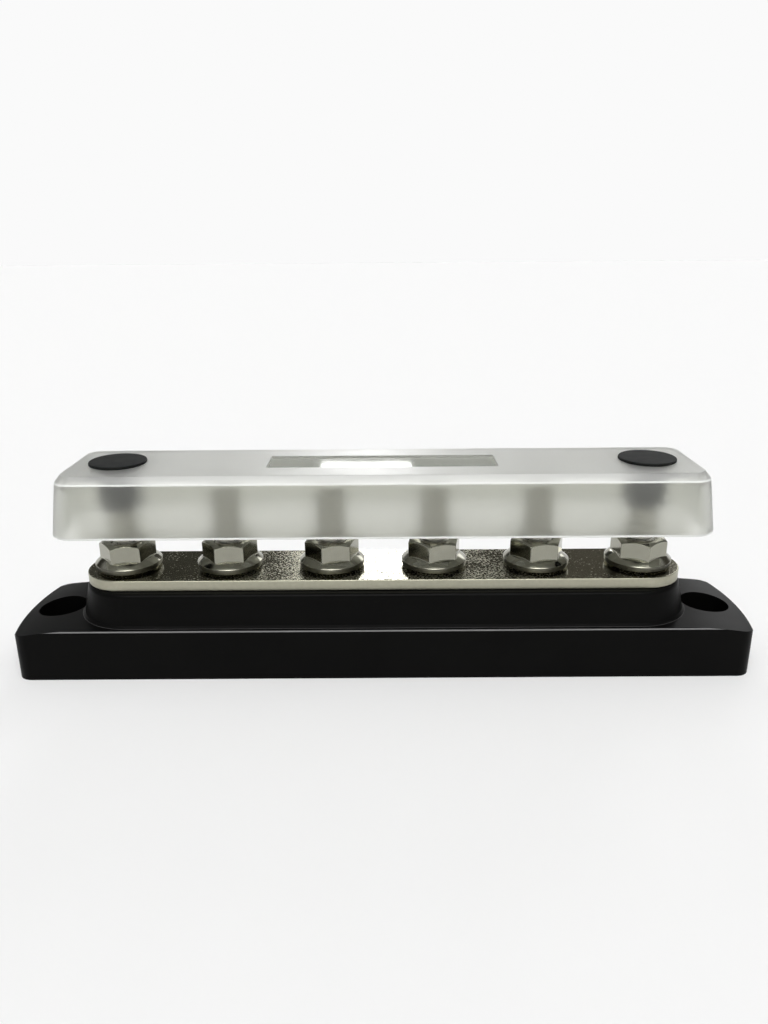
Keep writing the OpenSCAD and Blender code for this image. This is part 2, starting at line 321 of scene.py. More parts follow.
# Carbon-black plastic: almost no colour of its own, so the eye reads it by a soft grey sheen at low angles.
# Its real grain is about a tenth of a millimetre, too fine to show here, so it is drawn coarser.
GRAIN_MM, GRAIN_DEEP_MM, SHRINK_MM = 0.45, 0.02, 14.0
place = add_node(tree, "ShaderNodeTexCoord")
grain = add_node(tree, "ShaderNodeTexNoise", inputs={"Scale": per_mm(GRAIN_MM), "Detail": 2.0},
                 links={"Vector": place.outputs["Object"]})
drift = add_node(tree, "ShaderNodeTexNoise", inputs={"Scale": per_mm(SHRINK_MM), "Detail": 3.0},
                 links={"Vector": place.outputs["Object"]})
satin = add_node(tree, "ShaderNodeMapRange", inputs={"To Min": 0.3, "To Max": 0.42},
                 links={"Value": drift.outputs["Fac"]})
black = add_node(tree, "ShaderNodeMix", {"data_type": "RGBA"},
                 {"A": linear("#070707"), "B": linear("#0d0d0c")}, {"Factor": drift.outputs["Fac"]})
# The plinth's round top edge is the only part that faces half up below the pedestal. It gets a painted
# highlight.
PLINTH_TOP, HIGHLIGHT_FADE = 14.0, 0.1
facing = add_node(tree, "ShaderNodeSeparateXYZ", links={"Vector": place.outputs["Normal"]}).outputs["Z"]
height = add_node(tree, "ShaderNodeSeparateXYZ", links={"Vector": place.outputs["Object"]}).outputs["Z"]
# Each edge of the painted highlight: what it is measured along, and where it starts and ends
HIGHLIGHT_EDGES = (
    (facing, 0.35, 0.6),
    (facing, 0.92, 0.75),
    (height, (PLINTH_TOP + HIGHLIGHT_FADE) * MM, (PLINTH_TOP - HIGHLIGHT_FADE) * MM),
)
rub_and_painted_highlight = None
for along, start, end in HIGHLIGHT_EDGES:
    share = add_node(tree, "ShaderNodeMapRange", {"interpolation_type": "SMOOTHSTEP"},
                     {"From Min": start, "From Max": end}, {"Value": along})
    earlier = {1: rub_and_painted_highlight.outputs["Value"]} if rub_and_painted_highlight else {}
    rub_and_painted_highlight = add_node(tree, "ShaderNodeMath", {"operation": "MULTIPLY"}, {1: 1.0},
                      {0: share.outputs["Result"], **earlier})
# Painted highlight: along the plinth's edge the black is mixed towards light grey.
colour = add_node(tree, "ShaderNodeMix", {"data_type": "RGBA"}, {"B": linear("#7a7a7a")},
                  {"A": black.outputs["Result"], "Factor": rub_and_painted_highlight.outputs["Value"]})
relief = add_node(tree, "ShaderNodeBump", inputs={"Strength": 0.25, "Distance": GRAIN_DEEP_MM * MM},
                  links={"Height": grain.outputs["Fac"]})
shader = add_node(tree, "ShaderNodeBsdfPrincipled", inputs={"IOR": 1.53, "Specular IOR Level": 0.04},
                  links={"Base Color": colour.outputs["Result"], "Roughness": satin.outputs["Result"],
                         "Normal": relief.outputs["Normal"]})
tree.links.new(shader.outputs["BSDF"], surface)


def refinish(node, finish):
    """Gives a CAD object one finish all over, in place of the plain colour that it was packed with."""
    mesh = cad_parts[node].data
    mesh.materials.clear()
    mesh.materials.append(finish)
    print(node, "finished in", finish.name)


refinish("base", nylon)

# %% [markdown]
# ## The bar: bright nickel plate
# The bar is brass with a bright nickel coat, and nickel is a warm grey metal. The coat follows the tumbled
# brass under it, which has shallow dimples about a millimetre across, and it is porous in places, so the
# top glitters with fine specks where the room behind it is dark. There are far too many specks to model.
# The dimples come from a bump pattern, and the specks are small rough spots in loose patches, because a
# rough spot catches light from all over the room. The rounded edges are in the solid already.

# %% Pattern of the plate
nickel, tree, surface = new_finish("bright_nickel_plate")
# Plated metal: a warm grey mirror, broken up by shallow dimples and by porous specks that scatter light.
# The real specks are finer, too fine to show here, so they are drawn coarser.
PIT_MM, PIT_DEEP_MM, SPECK_MM, PATCH_MM = 1.1, 0.045, 0.6, 9.0
place = add_node(tree, "ShaderNodeTexCoord")
pits = add_node(tree, "ShaderNodeTexNoise", inputs={"Scale": per_mm(PIT_MM), "Detail": 2.0},
                links={"Vector": place.outputs["Object"]})
specks = add_node(tree, "ShaderNodeTexNoise", inputs={"Scale": per_mm(SPECK_MM), "Detail": 1.0},
                  links={"Vector": place.outputs["Object"]})
patches = add_node(tree, "ShaderNodeTexNoise", inputs={"Scale": per_mm(PATCH_MM), "Detail": 1.0},
                   links={"Vector": place.outputs["Object"]})
# The coat is thickest and brightest at the bar's ends, so the specks lie in its middle, in loose patches.
# A speck is where its noise stands above a level, which is lower in the middle and drifts between patches.
SPECKS_THIN_FROM, SPECKS_THIN_TO = 38.0, 48.0
LEVEL_MIDDLE, LEVEL_ENDS, PATCH_SHARE, SPECK_FADE = 0.3, 0.44, 0.4, 0.1
along = add_node(tree, "ShaderNodeSeparateXYZ", links={"Vector": place.outputs["Object"]})
from_middle = add_node(tree, "ShaderNodeMath", {"operation": "ABSOLUTE"}, links={0: along.outputs["X"]})
thinning = add_node(tree, "ShaderNodeMapRange",
                    inputs={"From Min": SPECKS_THIN_FROM * MM, "From Max": SPECKS_THIN_TO * MM,
                            "To Min": LEVEL_MIDDLE, "To Max": LEVEL_ENDS},
                    links={"Value": from_middle.outputs["Value"]})
uneven = add_node(tree, "ShaderNodeMath", {"operation": "MULTIPLY_ADD"}, {1: PATCH_SHARE},
                  {0: patches.outputs["Fac"], 2: thinning.outputs["Result"]})
above = add_node(tree, "ShaderNodeMath", {"operation": "SUBTRACT"},
                 links={0: specks.outputs["Fac"], 1: uneven.outputs["Value"]})
print("Specks thin out from", SPECKS_THIN_FROM, "to", SPECKS_THIN_TO, "mm from the middle")

# %% Finish: nickel plate over tumbled brass
# Roughness of the bright plate, of its specks, and of the sheared sides
BRIGHT, SPECKLED, SHEARED = 0.13, 0.44, 0.36
speckled = add_node(tree, "ShaderNodeMapRange", {"interpolation_type": "SMOOTHSTEP"},
                    {"From Min": 0.0, "From Max": SPECK_FADE, "To Min": BRIGHT, "To Max": SPECKLED},
                    {"Value": above.outputs["Value"]})
# The sides were sheared, which left them even and dull: dimples and specks are on the faces that look up.
facing = add_node(tree, "ShaderNodeSeparateXYZ", links={"Vector": place.outputs["Normal"]})
looks_up = add_node(tree, "ShaderNodeMapRange", inputs={"From Min": 0.6, "From Max": 0.95},
                    links={"Value": facing.outputs["Z"]})
roughness = add_node(tree, "ShaderNodeMix", inputs={"A": SHEARED},
                     links={"Factor": looks_up.outputs["Result"], "B": speckled.outputs["Result"]})
relief = add_node(tree, "ShaderNodeBump", inputs={"Distance": PIT_DEEP_MM * MM},
                  links={"Height": pits.outputs["Fac"], "Strength": looks_up.outputs["Result"]})
colour = add_node(tree, "ShaderNodeMix", {"data_type": "RGBA"},
                  {"A": linear("#a19f8e"), "B": linear("#b3b19f")}, {"Factor": pits.outputs["Fac"]})
shader = add_node(tree, "ShaderNodeBsdfPrincipled", inputs={"Metallic": 1.0},
                  links={"Base Color": colour.outputs["Result"], "Roughness": roughness.outputs["Result"],
                         "Normal": relief.outputs["Normal"]})
tree.links.new(shader.outputs["BSDF"], surface)
refinish("bus_bar", nickel)

# %% [markdown]
# ## Hexagons with turned corners
# Bolt heads and nuts are cold-formed from round wire, and their hexagon corners are then turned down to a
# cone, which leaves the curved line that crosses each flat. A boolean cut of a prism and a cone would give
# the same line with ragged faces. Walking round the axis instead, the distance to the hexagon is known at
# every angle, and where it is longer the cone cuts lower. More angles are taken at the corners, because
# they have a small radius.

# %% Hexagon outline
ACROSS_FLATS, CORNER_RADIUS = 13.0, 0.35
APOTHEM = ACROSS_FLATS / 2
HALF_SIDE = math.radians(30)
# How far the centre of a round corner lies from the axis, and half the angle that the round corner takes
CORNER_REACH = (APOTHEM - CORNER_RADIUS) / math.cos(HALF_SIDE)
CORNER_TURN = HALF_SIDE - math.atan((APOTHEM - CORNER_RADIUS) * math.tan(HALF_SIDE) / APOTHEM)
CORNER_SHARES, FLAT_STEPS = (-1, -0.5, 0, 0.5), 8
# The cone that turns the corners down starts at this radius, and falls this much for each mm outwards.
TURNED_R, TURNED_SLOPE = 0.94 * APOTHEM, math.tan(math.radians(30))


def hexagon_angles(first_corner_deg):
    """Angles round the axis, close together at the six round corners, in radians."""
    corners = [math.radians(first_corner_deg + 60 * k) for k in range(6)]
    flat = 2 * HALF_SIDE - 2 * CORNER_TURN
    return [
        a for corner in corners
        for a in [corner + CORNER_TURN * s for s in CORNER_SHARES]
        + [corner + CORNER_TURN + flat * s / FLAT_STEPS for s in range(FLAT_STEPS)]
    ]


def hexagon_radius(angle, first_corner_deg):
    """Distance from the axis to the hexagon's side at an angle, in mm."""
    from_corner = (angle - math.radians(first_corner_deg) + HALF_SIDE) % (2 * HALF_SIDE) - HALF_SIDE
    if abs(from_corner) >= CORNER_TURN:
        return APOTHEM / math.cos(HALF_SIDE - abs(from_corner))
    aside = CORNER_REACH * math.sin(from_corner)
    return CORNER_REACH * math.cos(from_corner) + math.sqrt(CORNER_RADIUS ** 2 - aside ** 2)


def hexagon_loop(bm, axis_x, angles, radii, heights):
    """A loop with its own radius and height at each angle, in mm."""
    return [
        bm.verts.new(((axis_x + r * math.cos(a)) * MM, r * math.sin(a) * MM, z * MM))
        for a, r, z in zip(angles, radii, heights)
    ]


print("Width across corners:", round(2 * hexagon_radius(0, 0), 2), "mm")

# %% [markdown]
# ## The studs: rolled threads
# Each stud is an M8 hexagon bolt pushed up from below. Its thread is rolled between dies, so the crests are
# smooth and slightly round. A Screw modifier could turn a profile into a helix, but it leaves ragged ends.
# Here the rows of faces follow the helix, and every point past the end of the thread is pulled back onto
# the bevel or the plain shank, so that the thread runs out as a real one does.

# %% Finish: stainless steel, rolled thread
stainless, tree, surface = new_finish("stainless_rolled_thread")
# Rolled stainless steel: a neutral grey mirror dulled by the die's drag.
DRAG_MM = 0.8
place = add_node(tree, "ShaderNodeTexCoord")
drag = add_node(tree, "ShaderNodeTexNoise", inputs={"Scale": per_mm(DRAG_MM), "Detail": 3.0},
                links={"Vector": place.outputs["Object"]})
roughness = add_node(tree, "ShaderNodeMapRange", inputs={"To Min": 0.22, "To Max": 0.36},
                     links={"Value": drag.outputs["Fac"]})
colour = add_node(tree, "ShaderNodeMix", {"data_type": "RGBA"},
                  {"A": linear("#cecdc6"), "B": linear("#dfddd6")}, {"Factor": drag.outputs["Fac"]})
shader = add_node(tree, "ShaderNodeBsdfPrincipled", inputs={"Metallic": 1.0},
                  links={"Base Color": colour.outputs["Result"], "Roughness": roughness.outputs["Result"]})
tree.links.new(shader.outputs["BSDF"], surface)
print(stainless.name, "ready")

# %% Thread
THREAD_R, THREAD_PITCH, THREAD_DEPTH = 4.0, 1.25, 0.767
THREAD_LENGTH, TIP_BEVEL = 22.0, 0.8
# One turn of the thread, as shares of the pitch and of its depth: crest, flank, root, flank.
THREAD_PROFILE = ((0.0, 0.0), (0.125, 0.0), (0.47, 0.95), (0.56, 1.0), (0.65, 0.95))
# The helix starts this many turns below the thread and ends above it, and is pulled back at both ends.
SPARE_TURNS = 2


def add_thread(bm, axis_x, z_low, z_top, angles):
    """Skins a thread from a plain shank at z_low to a bevelled tip at z_top; returns its two end loops."""
    tip_r = THREAD_R - TIP_BEVEL
    known = {}

    def vertex(k, turns, depth):
        """The vertex at angle k, so many turns up the helix and so deep into the thread."""
        climb = turns - SPARE_TURNS + (angles[k] - angles[0]) / math.tau
        z = z_low + THREAD_PITCH * climb
        fade = min(1.0, max(0.0, (z - z_low) / THREAD_PITCH))
        radius = min(THREAD_R - THREAD_DEPTH * depth * fade, tip_r + max(0.0, z_top - z))
        z = min(z_top, max(z_low, z))
        key = (k, round(z, 5), round(radius, 5))
        if key not in known:
            known[key] = turned_loop(bm, axis_x, radius, z, [angles[k]])[0]
        return known[key]

    turns = math.ceil((z_top - z_low) / THREAD_PITCH) + SPARE_TURNS + 1
    rows = [(turn + share, depth) for turn in range(turns) for share, depth in THREAD_PROFILE]
    per_turn, count = len(THREAD_PROFILE), len(angles)
    for j in range(len(rows) - per_turn - 1):
        for k in range(count):
            # Past the last angle, the row goes on one turn higher.
            n, ahead_by = (k + 1, 0) if k + 1 < count else (0, per_turn)
            low, high, low_n, high_n = rows[j], rows[j + 1], rows[j + ahead_by], rows[j + ahead_by + 1]
            ring = [vertex(k, *low), vertex(n, *low_n), vertex(n, *high_n), vertex(k, *high)]
            ring = list(dict.fromkeys(ring))
            if len(ring) > 2 and bm.faces.get(ring) is None:
                bm.faces.new(ring)
    bottom = [vertex(k, 0, 0) for k in range(count)]
    tip = [vertex(k, turns + SPARE_TURNS, 0) for k in range(count)]
    return bottom, tip


print("Thread depth", THREAD_DEPTH, "mm on a pitch of", THREAD_PITCH, "mm")

# %% Studs
HEAD_HEIGHT = 5.3


def add_stud(number):
    """Builds a bolt from the middle of its head, over the hexagon and up the thread to its tip."""
    low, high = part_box(f"stud_{number}")
    axis_x, z_head, z_tip = (low.x + high.x) / 2 / MM, low.z / MM, high.z / MM
    z_seat = z_head + HEAD_HEIGHT
    bm = bmesh.new()
    angles = hexagon_angles(0)
    sides = [hexagon_radius(a, 0) for a in angles]
    cone = [z_head + (r - TURNED_R) * TURNED_SLOPE for r in sides]
    middle = bm.verts.new((axis_x * MM, 0, z_head * MM))
    head = [
        [middle] * len(angles),
        turned_loop(bm, axis_x, TURNED_R, z_head, angles),
        hexagon_loop(bm, axis_x, angles, sides, cone),
        hexagon_loop(bm, axis_x, angles, sides, [z_seat] * len(angles)),
        turned_loop(bm, axis_x, THREAD_R, z_seat, angles),
    ]
    bottom, tip = add_thread(bm, axis_x, z_tip - THREAD_LENGTH, z_tip, angles)
    skin(bm, head + [bottom])
    crown = bm.verts.new((axis_x * MM, 0, z_tip * MM))
    skin(bm, [tip, [crown] * len(angles)])
    add_piece(f"bolt_{number}", bm, [stainless], "base", f"stud_{number}")


for number in TERMINALS:
    add_stud(number)

# %% [markdown]
# ## The flange nuts
# A flange nut is forged in one piece with its washer. The hexagon runs with a small fillet into a dome, the
# dome ends in a narrow bevel, and the rim leans in towards the bar, with a hollow under it and a flat ring
# that bears on the bar. Each nut was left at its own angle, as the photograph shows. The CAD nuts could
# stay, but their straight cones and sharp edges catch no glints. The same walk round the axis as for the
# bolt heads gives the hexagon, and the flange is one rounded outline that is turned round the axis.

# %% Finish: nickel-plated steel, cold formed
plated, tree, surface = new_finish("cold_formed_plated_steel")
# Barrel-plated fasteners: bright and a little wavy, because the forging under the plate is never truly flat.
WAVE_MM, WAVE_DEEP_MM = 2.2, 0.03
place = add_node(tree, "ShaderNodeTexCoord")
waves = add_node(tree, "ShaderNodeTexNoise", inputs={"Scale": per_mm(WAVE_MM), "Detail": 2.0},
                 links={"Vector": place.outputs["Object"]})
roughness = add_node(tree, "ShaderNodeMapRange", inputs={"To Min": 0.08, "To Max": 0.2},
                     links={"Value": waves.outputs["Fac"]})
relief = add_node(tree, "ShaderNodeBump", inputs={"Strength": 0.3, "Distance": WAVE_DEEP_MM * MM},
                  links={"Height": waves.outputs["Fac"]})
colour = add_node(tree, "ShaderNodeMix", {"data_type": "RGBA"},
                  {"A": linear("#8f8e82"), "B": linear("#9e9d90")}, {"Factor": waves.outputs["Fac"]})
shader = add_node(tree, "ShaderNodeBsdfPrincipled", inputs={"Metallic": 1.0},
                  links={"Base Color": colour.outputs["Result"], "Roughness": roughness.outputs["Result"],
                         "Normal": relief.outputs["Normal"]})
tree.links.new(shader.outputs["BSDF"], surface)
print(plated.name, "ready")

# %% Finish: plated steel, upset rim, painted darker
rim_steel_painted_dark, tree, surface = new_finish("plated_steel_painted_dark_rim")
# The rim of the flange was squeezed out freely, past the die: rough under its plate, so dull. Its darker
# colour is painted shade, for the dark bar top that the rim mirrors.
UPSET_MM = 0.7
place = add_node(tree, "ShaderNodeTexCoord")
rough = add_node(tree, "ShaderNodeTexNoise", inputs={"Scale": per_mm(UPSET_MM), "Detail": 2.0},
                 links={"Vector": place.outputs["Object"]})
roughness = add_node(tree, "ShaderNodeMapRange", inputs={"To Min": 0.24, "To Max": 0.4},
                     links={"Value": rough.outputs["Fac"]})
colour = add_node(tree, "ShaderNodeMix", {"data_type": "RGBA"},
                  {"A": linear("#55544b"), "B": linear("#75746a")}, {"Factor": rough.outputs["Fac"]})
shader = add_node(tree, "ShaderNodeBsdfPrincipled", inputs={"Metallic": 1.0},
                  links={"Base Color": colour.outputs["Result"], "Roughness": roughness.outputs["Result"]})
tree.links.new(shader.outputs["BSDF"], surface)
print(rim_steel_painted_dark.name, "ready")

# %% Flange outline
BEARING_R, HOLLOW_R, HOLLOW_Z = 7.6, 8.0, 0.4
FLANGE_R, RIM_LOW, RIM_HIGH, RIM_LEAN = 8.9, 0.7, 2.02, 0.14
DOME_R, DOME_Z = 8.84, 2.1
# The dome is flattest by the hexagon: past its shoulder it climbs by this much for each mm inwards.
SHOULDER_R, SHOULDER_Z, NECK_SLOPE = 7.8, 2.95, 0.4
# Radius and height, from the bearing ring round the hollow and the rim to the dome's shoulder
FLANGE_OUTLINE = (
    (BEARING_R, 0), (HOLLOW_R, HOLLOW_Z), (FLANGE_R - RIM_LEAN, RIM_LOW), (FLANGE_R, RIM_HIGH),
    (DOME_R, DOME_Z), (SHOULDER_R, SHOULDER_Z),
)
FLANGE_RADII = (0, 0.2, 0.1, 0.03, 0.03, 0)
flange_section = rounded(FLANGE_OUTLINE, FLANGE_RADII)
print("The flange's outline has", len(flange_section), "points")

# %% Nuts
NUT_HEIGHT, NUT_BORE_R, NUT_SINK = 8.0, 4.05, 0.6
NECK_FILLET, EDGE_BREAK = 0.22, 0.12
NUT_TURNS = {1: 10, 2: 8, 3: 13, 4: 18, 5: 10, 6: 36}
NUT_FINISHES = [plated, rim_steel_painted_dark]


def add_nut(number):
    """Builds a nut from loops: round the flange, up the hexagon, in at the upper mouth and down the bore."""
    stud_low, stud_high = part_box(f"stud_{number}")
    axis_x, turn = (stud_low.x + stud_high.x) / 2 / MM, NUT_TURNS[number]
    z_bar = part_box(f"nut_{number}")[0].z / MM
    bm = bmesh.new()
    angles = hexagon_angles(turn)
    sides = [hexagon_radius(a, turn) for a in angles]
    foot = [SHOULDER_Z + NECK_SLOPE * (SHOULDER_R - r) for r in sides]
    edge = [NUT_HEIGHT - (r - TURNED_R) * TURNED_SLOPE for r in sides]

    def round_level(radius, z):
        """A round loop at a height above the bar."""
        return turned_loop(bm, axis_x, radius, z_bar + z, angles)

    def hexagon_level(spread, heights):
        """A hexagon loop, wider than the nut by the spread, at heights above the bar."""
        return hexagon_loop(bm, axis_x, angles, [r + spread for r in sides], [z_bar + z for z in heights])

    flange = [round_level(r, z) for r, z in flange_section]
    # The rim's faces take the darker finish, whose colour is painted shade.
    for k in range(len(flange) - 1):
        on_rim = flange_section[k][0] > HOLLOW_R and flange_section[k + 1][1] <= RIM_HIGH
        for face in skin(bm, flange[k:k + 2]):
            face.material_index = NUT_FINISHES.index(rim_steel_painted_dark if on_rim else plated)
    # From below: foot, middle and head of the fillet, then both sides of the broken upper edge
    hexagon = [
        hexagon_level(NECK_FILLET, [z - NECK_SLOPE * NECK_FILLET for z in foot]),
        hexagon_level(NECK_FILLET / 4, [z + NECK_FILLET / 8 for z in foot]),
        hexagon_level(0, [z + NECK_FILLET for z in foot]),
        hexagon_level(0, [z - EDGE_BREAK for z in edge]),
        hexagon_level(-EDGE_BREAK, [z + EDGE_BREAK / 2 for z in edge]),
    ]
    bore = [
        round_level(TURNED_R, NUT_HEIGHT),
        round_level(NUT_BORE_R + NUT_SINK, NUT_HEIGHT),
        round_level(NUT_BORE_R, NUT_HEIGHT - NUT_SINK),
        round_level(NUT_BORE_R, NUT_SINK),
        round_level(NUT_BORE_R + NUT_SINK, 0),
    ]
    skin(bm, [flange[-1]] + hexagon + bore + [flange[0]])
    add_piece(f"flange_nut_{number}", bm, NUT_FINISHES, f"nut_{number}", f"nut_{number}")


for number in TERMINALS:
    add_nut(number)

# %% [markdown]
# ## The cover: frosted polycarbonate
# The cover is a thin drafted box, open below. Its mould was blasted with grit, so the walls are frosted and
# whatever stands behind them turns into soft bands. The roof and its bevel were blasted deeper and are
# milkier, and the label window was polished and stays clear. The open lip and the rim get a painted glow, a
# pale finish for light that runs inside the wall. One see-through sheet would be quicker, but light bends
# going in and again coming out, and frost only blurs what is some way behind it. So the wall has both its
# faces, from one outline that goes down inside, round the open edge and up over the bevel.

# %% Finish: frosted polycarbonate, the walls
frosted, tree, surface = new_finish("frosted_polycarbonate")
# Grit-blasted clear plastic: milky grey, with a soft glow on edges, and blurred shapes behind it.
POLYCARBONATE_IOR = 1.58
# Real grit marks are finer, too fine to show here, so they are drawn coarser.
GRIT_MM = 0.35
COVER_FOOT, COVER_RIM = 39.4, 53.3
place = add_node(tree, "ShaderNodeTexCoord")
grit = add_node(tree, "ShaderNodeTexNoise", inputs={"Scale": per_mm(GRIT_MM), "Detail": 1.0},
                links={"Vector": place.outputs["Object"]})
roughness = add_node(tree, "ShaderNodeMapRange", inputs={"To Min": 0.29, "To Max": 0.4},
                     links={"Value": grit.outputs["Fac"]})
# Painted light: the walls are paler from the foot to the rim, to lift the upper wall that the roof shades.
axes = add_node(tree, "ShaderNodeSeparateXYZ", links={"Vector": place.outputs["Object"]}).outputs
painted_lift_to_rim = add_node(tree, "ShaderNodeMapRange", inputs={"From Min": COVER_FOOT * MM, "From Max": COVER_RIM * MM},
                 links={"Value": axes["Z"]})
walls_colour = add_node(tree, "ShaderNodeMix", {"data_type": "RGBA"},
                        {"A": linear("#c4c5bc"), "B": linear("#e9eae2")}, {"Factor": painted_lift_to_rim.outputs["Result"]})
# Painted light: the ends are paler, for light that runs along inside the long walls and comes out round the
# corners.
ENDS_FROM, ENDS_TO = 74.0, 80.0
from_middle = add_node(tree, "ShaderNodeMath", {"operation": "ABSOLUTE"}, links={0: axes["X"]})
ends = add_node(tree, "ShaderNodeMapRange", {"interpolation_type": "SMOOTHSTEP"},
                {"From Min": ENDS_FROM * MM, "From Max": ENDS_TO * MM},
                {"Value": from_middle.outputs["Value"]})
colour = add_node(tree, "ShaderNodeMix", {"data_type": "RGBA"}, {"B": linear("#e9eae3")},
                  {"A": walls_colour.outputs["Result"], "Factor": ends.outputs["Result"]})
shader = add_node(tree, "ShaderNodeBsdfPrincipled",
                  inputs={"IOR": POLYCARBONATE_IOR, "Transmission Weight": 0.95, "Specular IOR Level": 0.25},
                  links={"Base Color": colour.outputs["Result"], "Roughness": roughness.outputs["Result"]})
tree.links.new(shader.outputs["BSDF"], surface)
print(frosted.name, "ready")

# %% Finish: deeper frosted polycarbonate, the roof and its bevel
milky, tree, surface = new_finish("deep_frosted_polycarbonate")
# A deeper blast scatters more light back, so the roof is paler than the walls and hides what is below.
place = add_node(tree, "ShaderNodeTexCoord")
grit = add_node(tree, "ShaderNodeTexNoise", inputs={"Scale": per_mm(GRIT_MM), "Detail": 1.0},
                links={"Vector": place.outputs["Object"]})
roughness = add_node(tree, "ShaderNodeMapRange", inputs={"To Min": 0.3, "To Max": 0.4},
                     links={"Value": grit.outputs["Fac"]})
# Handling at the plugs has rubbed the frost thin there, so their stems show through the bevel.
RUBBED_FROM, RUBBED_TO = 56.0, 66.0
axes = add_node(tree, "ShaderNodeSeparateXYZ", links={"Vector": place.outputs["Object"]}).outputs
from_middle = add_node(tree, "ShaderNodeMath", {"operation": "ABSOLUTE"}, links={0: axes["X"]})
rub_and_painted_highlight = add_node(tree, "ShaderNodeMapRange", {"interpolation_type": "SMOOTHSTEP"},
                  {"From Min": RUBBED_FROM * MM, "From Max": RUBBED_TO * MM},
                  {"Value": from_middle.outputs["Value"]})
clear = add_node(tree, "ShaderNodeMapRange", inputs={"To Min": 0.5, "To Max": 0.8},
                 links={"Value": rub_and_painted_highlight.outputs["Result"]})
colour = add_node(tree, "ShaderNodeMix", {"data_type": "RGBA"},
                  {"A": linear("#e7e8e4"), "B": linear("#f5f6f2")}, {"Factor": rub_and_painted_highlight.outputs["Result"]})
shader = add_node(tree, "ShaderNodeBsdfPrincipled", inputs={"IOR": POLYCARBONATE_IOR},
                  links={"Base Color": colour.outputs["Result"], "Roughness": roughness.outputs["Result"],
                         "Transmission Weight": clear.outputs["Result"]})
tree.links.new(shader.outputs["BSDF"], surface)
print(milky.name, "ready")

# %% Finishes: polished window, and a painted glow for the lip and rim
polished, tree, surface = new_finish("polished_polycarbonate")
# The same plastic from a polished part of the mould: clear, with sharp reflections of the lamps.
SMEAR_MM = 6.0
place = add_node(tree, "ShaderNodeTexCoord")
smears = add_node(tree, "ShaderNodeTexNoise", inputs={"Scale": per_mm(SMEAR_MM), "Detail": 3.0},
                  links={"Vector": place.outputs["Object"]})
roughness = add_node(tree, "ShaderNodeMapRange", inputs={"To Min": 0.02, "To Max": 0.06},
                     links={"Value": smears.outputs["Fac"]})
shader = add_node(tree, "ShaderNodeBsdfPrincipled",
                  inputs={"Base Color": linear("#e3e5e1"), "IOR": POLYCARBONATE_IOR,
                          "Transmission Weight": 0.95},
                  links={"Roughness": roughness.outputs["Result"]})
tree.links.new(shader.outputs["BSDF"], surface)

painted_glow_edge, tree, surface = new_finish("painted_glow_polycarbonate")
# The lip and the rim get a painted glow: a pale finish for light that enters elsewhere, runs inside the wall
# and leaves here.
shader = add_node(tree, "ShaderNodeBsdfPrincipled",
                  inputs={"Base Color": linear("#f4f5f2"), "IOR": POLYCARBONATE_IOR,
                          "Transmission Weight": 0.3, "Roughness": 0.5})
tree.links.new(shader.outputs["BSDF"], surface)
print(polished.name, "and", painted_glow_edge.name, "ready")

# %% Outline of the cover
COVER_CORNER_X, COVER_CORNER_Y, CORNER_STEPS = 78.2, 9.7, 12
ROOF_UNDER, ROOF_TOP = 53.2, 55.2
# Radius of the upright corners at the rim, at the foot and inside the wall, and width of the bevel
RIM_R, FOOT_R, INSIDE_R, INSIDE_FOOT_R, BEVEL = 5.0, 7.05, 3.2, 5.23, 1.65
LIP_R, LIP_HEIGHT = 6.96, 0.6
# Where the round edges of the roof end and its flat faces start
UNDER_FLAT_R, TOP_FLAT_R = 1.4, 2.4
# Distance from the corner centres and height, from under the roof, down inside, round the edge and up outside
COVER_OUTLINE = (
    (UNDER_FLAT_R, ROOF_UNDER), (INSIDE_R - BEVEL / 2, ROOF_UNDER), (INSIDE_R, ROOF_UNDER - BEVEL),
    (INSIDE_FOOT_R, COVER_FOOT), (FOOT_R, COVER_FOOT), (LIP_R, COVER_FOOT + LIP_HEIGHT),
    (RIM_R, COVER_RIM), (RIM_R - BEVEL, ROOF_TOP), (TOP_FLAT_R, ROOF_TOP),
)
COVER_RADII = (0, 0.5, 0.6, 0.3, 0.2, 0, 1.0, 0.4, 0)
QUARTERS = ((1, 1), (-1, 1), (-1, -1), (1, -1))


def cover_loop(bm, radius, z):
    """One level of the cover: a rectangle with round corners, in mm."""
    turns = [
        (x, y, math.radians(90) * (q + s / CORNER_STEPS))
        for q, (x, y) in enumerate(QUARTERS) for s in range(CORNER_STEPS + 1)
    ]
    return [
        bm.verts.new((
            (x * COVER_CORNER_X + radius * math.cos(a)) * MM,
            (y * COVER_CORNER_Y + radius * math.sin(a)) * MM,
            z * MM,
        ))
        for x, y, a in turns
    ]


section = rounded(COVER_OUTLINE, COVER_RADII)
print("The cover's outline has", len(section), "points")

# %% Walls of the cover
# The band round the rim with the painted glow: how far out it starts, and how far it reaches above and below
BAND_INSIDE, BAND_HALF = 4.0, 0.45
COVER_FINISHES = [frosted, polished, painted_glow_edge, milky]
bm = bmesh.new()
walls = [cover_loop(bm, r, z) for r, z in section]
for k in range(len(section) - 1):
    middle_r, middle_z = (Vector(section[k]) + Vector(section[k + 1])) / 2
    on_lip = middle_z < COVER_FOOT + LIP_HEIGHT
    on_band = middle_r > BAND_INSIDE and abs(middle_z - COVER_RIM) < BAND_HALF
    frost = milky if middle_z > COVER_RIM else frosted
    finish = painted_glow_edge if on_lip or on_band else frost
    for face in skin(bm, walls[k:k + 2]):
        face.material_index = COVER_FINISHES.index(finish)
print("Walls of", len(bm.faces), "faces")

# %% Roof of the cover, with its window and holes
WINDOW_HALF_X, WINDOW_HALF_Y, WINDOW_DEEP = 30.0, 5.8, 0.4
PLUG_HOLE_R, PLUG_X, HOLE_STEPS = 4.95, 70.0, 48
# Softer than on metal: the moulded edges of the cover blend up to this angle.
COVER_SHARP_DEG = 50


